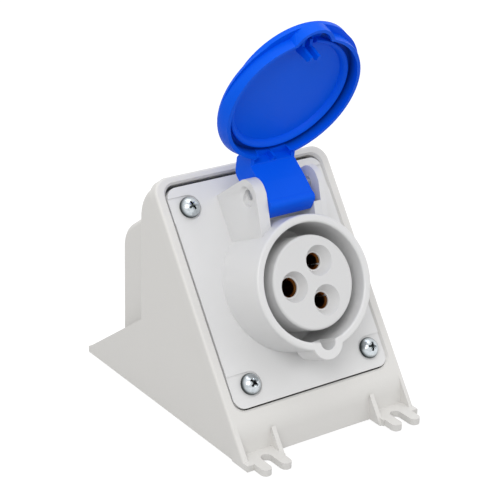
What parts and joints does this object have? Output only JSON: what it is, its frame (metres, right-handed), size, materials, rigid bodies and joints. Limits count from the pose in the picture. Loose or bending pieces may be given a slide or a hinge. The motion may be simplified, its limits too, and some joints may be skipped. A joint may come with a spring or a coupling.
{
  "type": "pin and sleeve receptacle",
  "caption": "Surface mounting box with an inclined front panel, a tilted pin and sleeve collar, brass contact sleeves and a sprung hinged lid.",
  "frame": {"origin": "middle of the box's underside, on the mounting face", "axes": "+Z out of the mounting face, -Y towards the front panel, +X to the right seen from the front"},
  "size_m": [0.0822, 0.1234, 0.1592],
  "materials": {
    "housing_grey": "fine moulded texture, warm light grey",
    "panel_grey": "smooth moulded light grey",
    "carrier_grey": "smooth insulating moulding, light grey",
    "lid_blue": "glossy moulded blue",
    "seal_blue": "soft blue sealing ring",
    "dark_rubber": "soft black rubber",
    "grommet_grey": "soft grey rubber",
    "contact_brass": "turned brass",
    "zinc_steel": "zinc plated steel",
    "spring_steel": "bright spring steel"
  },
  "bodies": {
    "box": {"cable_grommet": "grommet_grey", "carrier_cover": "carrier_grey", "carrier_seal": "dark_rubber", "contact_carrier": "carrier_grey", "cover_screws": "zinc_steel", "earth_sleeve": "contact_brass", "earth_spring_ring": "spring_steel", "front_panel": "panel_grey", "hinge_pin": "zinc_steel", "housing": "housing_grey", "lid_spring": "spring_steel", "line_sleeve": "contact_brass", "line_spring_ring": "spring_steel", "neutral_sleeve": "contact_brass", "neutral_spring_ring": "spring_steel", "panel_gasket": "dark_rubber", "panel_screws": "zinc_steel", "terminal_screws": "zinc_steel"},
    "lid": {"lid": "lid_blue", "lid_seal": "seal_blue"}
  },
  "joints": [
    {"name": "lid_hinge", "type": "hinge", "parent": "box", "child": "lid", "pos_m": [0, -0.01694, 0.09036], "axis": [1, 0, 0], "range_deg": [0, 131]}
  ]
}
